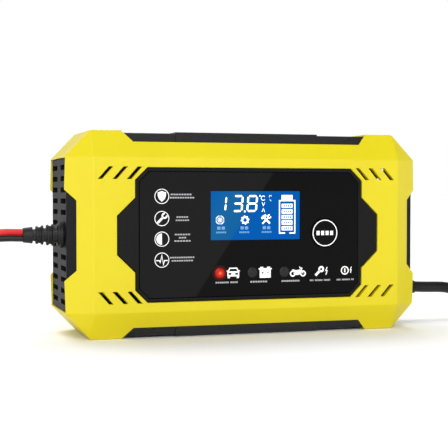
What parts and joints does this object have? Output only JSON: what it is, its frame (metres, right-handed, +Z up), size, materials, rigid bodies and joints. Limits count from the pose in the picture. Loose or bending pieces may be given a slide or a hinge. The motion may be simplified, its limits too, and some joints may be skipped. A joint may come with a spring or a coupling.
{
  "type": "car battery charger",
  "caption": "Chamfered two-shell battery charger with a display front, vented sides, a mains lead and an output lead that ends in sprung clamps.",
  "frame": {"origin": "middle of the underside that the case stands on", "axes": "+Z up, -Y towards the display front, +X towards the mains lead's end"},
  "size_m": [0.4698, 0.0594, 0.0906],
  "materials": {
    "yellow_abs": "fine spark texture, moulded",
    "black_abs": "fine spark texture, moulded",
    "mesh_black": "moulded with a fine mesh pattern",
    "gloss_overlay": "gloss printed overlay",
    "lcd_blue": "backlit display behind a clear window",
    "red_lens": "lit lens",
    "dark_lens": "unlit lens",
    "dark_moulding": "moulded",
    "board_green": "solder resist on glass laminate",
    "ferrite": "sintered",
    "copper": "enamelled wire",
    "can_sleeve": "shrink sleeve",
    "fuse_body": "glass tube with metal caps",
    "aluminium": "extruded",
    "steel": "nickel plated pressing",
    "brass": "nickel-free turned pin",
    "black_pvc": "flexible PVC",
    "red_vinyl": "flexible PVC",
    "black_vinyl": "flexible PVC"
  },
  "bodies": {
    "case": {"front_shell": "yellow_abs", "rear_shell": "yellow_abs", "left_vent_panel": "black_abs", "right_vent_panel": "black_abs", "top_panel": "black_abs", "bottom_panel": "black_abs", "front_bezel": "mesh_black", "display_panel": "gloss_overlay", "lcd_window": "lcd_blue", "led_lens_1": "red_lens", "led_lens_2": "dark_lens", "led_lens_3": "dark_lens", "lcd_backlight": "dark_moulding", "mode_switch": "dark_moulding", "switching_transistor": "dark_moulding", "output_rectifier": "dark_moulding", "output_relay": "dark_moulding", "fan_frame": "dark_moulding", "display_board": "board_green", "main_board": "board_green", "transformer_core": "ferrite", "transformer_winding": "copper", "line_choke": "copper", "bulk_capacitor": "can_sleeve", "output_capacitor_1": "can_sleeve", "output_capacitor_2": "can_sleeve", "mains_fuse": "fuse_body", "primary_heatsink": "aluminium", "output_heatsink": "aluminium", "case_screw_1": "steel", "case_screw_2": "steel", "case_screw_3": "steel", "case_screw_4": "steel", "lead_strain_relief": "black_pvc", "mains_strain_relief": "black_pvc", "mains_cord": "black_pvc", "mains_coil": "black_pvc", "plug_body": "black_pvc", "output_lead": "red_vinyl", "output_lead_coil": "red_vinyl", "red_tail": "red_vinyl", "red_clamp_fixed_grip": "red_vinyl", "black_tail": "black_vinyl", "black_clamp_fixed_grip": "black_vinyl", "red_clamp_fixed_jaw": "steel", "black_clamp_fixed_jaw": "steel", "red_clamp_rivet": "steel", "black_clamp_rivet": "steel", "red_clamp_spring": "steel", "black_clamp_spring": "steel", "plug_pin_1": "brass", "plug_pin_2": "brass"},
    "mode_button": {"mode_button": "gloss_overlay", "switch_plunger": "dark_moulding"},
    "fan_rotor": {"fan_rotor": "dark_moulding"},
    "red_clamp_jaw": {"red_clamp_moving_jaw": "steel", "red_clamp_moving_grip": "red_vinyl"},
    "black_clamp_jaw": {"black_clamp_moving_jaw": "steel", "black_clamp_moving_grip": "black_vinyl"}
  },
  "joints": [
    {"name": "mode_button_press", "type": "slide", "parent": "case", "child": "mode_button", "axis": [0, 1, 0], "range_m": [0, 0.0006], "stiffness_N_per_m": 2000},
    {"name": "fan_spin", "type": "hinge", "parent": "case", "child": "fan_rotor", "pos_m": [0.0732, 0, 0.0453], "axis": [1, 0, 0], "continuous": true},
    {"name": "red_clamp_squeeze", "type": "hinge", "parent": "case", "child": "red_clamp_jaw", "pos_m": [-0.204, 0.0162, 0.0181], "axis": [0, 0, -1], "range_deg": [0, 35], "stiffness_Nm_per_rad": 0.4, "springref_deg": -17.19},
    {"name": "black_clamp_squeeze", "type": "hinge", "parent": "case", "child": "black_clamp_jaw", "pos_m": [-0.204, -0.0134, 0.0181], "axis": [0, 0, 1], "range_deg": [0, 35], "stiffness_Nm_per_rad": 0.4, "springref_deg": -17.19}
  ]
}
